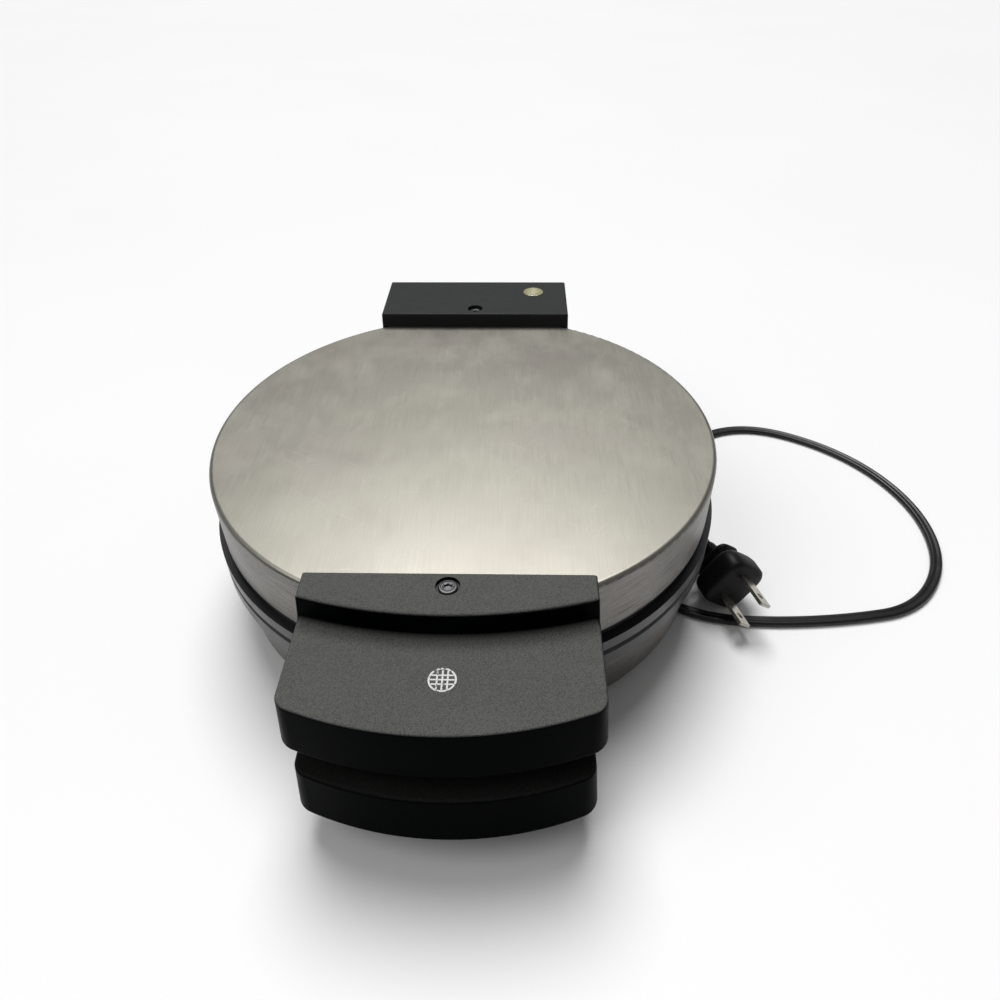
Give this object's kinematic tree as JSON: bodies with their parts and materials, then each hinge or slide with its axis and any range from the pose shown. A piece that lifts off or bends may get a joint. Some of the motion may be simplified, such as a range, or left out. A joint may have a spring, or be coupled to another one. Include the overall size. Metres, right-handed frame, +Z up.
{
  "type": "waffle maker",
  "caption": "Round electric waffle maker: brushed steel lid hinged at the back over a base, cast grid plates, black handles in front, and a flat mains cord with plug.",
  "frame": {"origin": "middle of the appliance's footprint without its cord, on the surface it stands on", "axes": "+Z up; the handles point towards -Y and the hinge is at +Y; +X to the right as the user faces the handles"},
  "size_m": [0.3465, 0.3778, 0.0825],
  "materials": {
    "brushed_steel": "brushed",
    "ring_plastic": "satin",
    "grid_coating": "non-stick coated, satin",
    "element_steel": "heat-dulled",
    "reflector_metal": "bright",
    "handle_plastic": "fine leather grain",
    "hinge_plastic": "matte",
    "base_plastic": "matte",
    "screw_steel": "dull",
    "dark_screw": "black oxide",
    "bracket_steel": "zinc plated",
    "lens_plastic": "translucent",
    "lamp_glass": "clear",
    "foot_rubber": "matte",
    "ceramic_white": "glazed",
    "lead_sleeve": "braided glass sleeve",
    "cord_vinyl": "satin",
    "plug_vinyl": "soft satin",
    "blade_nickel": "nickel plated"
  },
  "bodies": {
    "base": {"lower_shell": "brushed_steel", "lower_ring": "ring_plastic", "lower_grid_plate": "grid_coating", "lower_heating_element": "element_steel", "lower_reflector": "reflector_metal", "lower_plate_screws": "screw_steel", "lower_handle": "handle_plastic", "lower_handle_screws": "screw_steel", "hinge_bracket": "hinge_plastic", "base_plate": "base_plastic", "foot_front_left": "foot_rubber", "foot_front_right": "foot_rubber", "foot_rear_left": "foot_rubber", "foot_rear_right": "foot_rubber", "foot_screws": "screw_steel", "thermostat": "ceramic_white", "terminal_block": "ceramic_white", "supply_leads": "lead_sleeve", "base_leads": "lead_sleeve", "strain_relief": "cord_vinyl", "power_cord": "cord_vinyl", "plug_body": "plug_vinyl", "plug_blades": "blade_nickel"},
    "lid": {"lid_shell": "brushed_steel", "upper_ring": "ring_plastic", "upper_grid_plate": "grid_coating", "upper_heating_element": "element_steel", "upper_reflector": "reflector_metal", "upper_plate_screws": "screw_steel", "upper_handle": "handle_plastic", "handle_screw": "dark_screw", "handle_backing_plate": "bracket_steel", "hinge_backing_plate": "bracket_steel", "hinge_cover": "hinge_plastic", "hinge_cover_screw": "dark_screw", "hinge_pins": "screw_steel", "indicator_lens": "lens_plastic", "indicator_lamp": "lamp_glass", "thermal_fuse": "ceramic_white", "lid_leads": "lead_sleeve"}
  },
  "joints": [
    {"name": "lid_hinge", "type": "hinge", "parent": "base", "child": "lid", "pos_m": [0, 0.13775, 0.038], "axis": [-1, 0, 0], "range_deg": [0, 100]}
  ]
}
